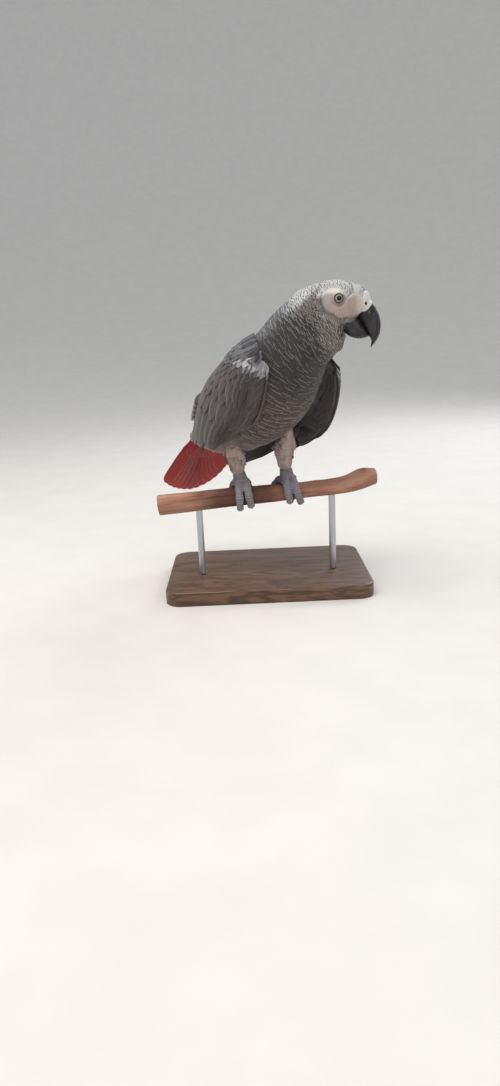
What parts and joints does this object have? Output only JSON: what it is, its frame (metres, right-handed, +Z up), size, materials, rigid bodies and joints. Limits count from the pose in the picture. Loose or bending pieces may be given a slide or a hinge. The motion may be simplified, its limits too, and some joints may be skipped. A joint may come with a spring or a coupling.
{
  "type": "grey parrot on a perch",
  "caption": "Life-size grey parrot with a red tail and a hooked black bill, standing on a short peeled branch that rods hold over a flat display base.",
  "frame": {"origin": "centre of the display base's underside", "axes": "+Z up; X runs along the perch, +X to the bird's left; -Y is the side that the front toes and the breast point to; the tail points back towards +Y and -X"},
  "size_m": [0.1924, 0.1672, 0.2528],
  "materials": {
    "plumage": "soft matt feather, grey with pale edges",
    "wing": "smooth matt feather, slate grey",
    "flight": "stiff feather, nearly black",
    "tail": "stiff feather, crimson",
    "bare_skin": "bare, dry, finely wrinkled whitish skin with sparse tiny feathers",
    "horn": "polished black horn",
    "iris": "wet, pale straw iris with a black pupil",
    "foot": "dry grey scaly skin",
    "wood": "peeled branch, dry and worn smooth",
    "base": "dark stained hardwood, satin",
    "steel": "satin steel"
  },
  "bodies": {
    "root": {"trunk": "plumage", "neck": "plumage", "head": "bare_skin", "bill_upper": "horn", "bill_lower": "horn", "tail": "tail", "eye_right": "iris", "wing_right": "wing", "wing_right_primaries": "flight", "eye_left": "iris", "wing_left": "wing", "wing_left_primaries": "flight", "thigh_right": "plumage", "shank_right": "foot", "toe_right_inner": "foot", "claw_right_inner": "horn", "toe_right_outer": "foot", "claw_right_outer": "horn", "toe_right_hind_outer": "foot", "claw_right_hind_outer": "horn", "toe_right_hind_inner": "foot", "claw_right_hind_inner": "horn", "thigh_left": "plumage", "shank_left": "foot", "toe_left_inner": "foot", "claw_left_inner": "horn", "toe_left_outer": "foot", "claw_left_outer": "horn", "toe_left_hind_outer": "foot", "claw_left_hind_outer": "horn", "toe_left_hind_inner": "foot", "claw_left_hind_inner": "horn", "branch": "wood", "stand_base": "base", "stand_rod_right": "steel", "stand_rod_left": "steel"}
  },
  "joints": []
}
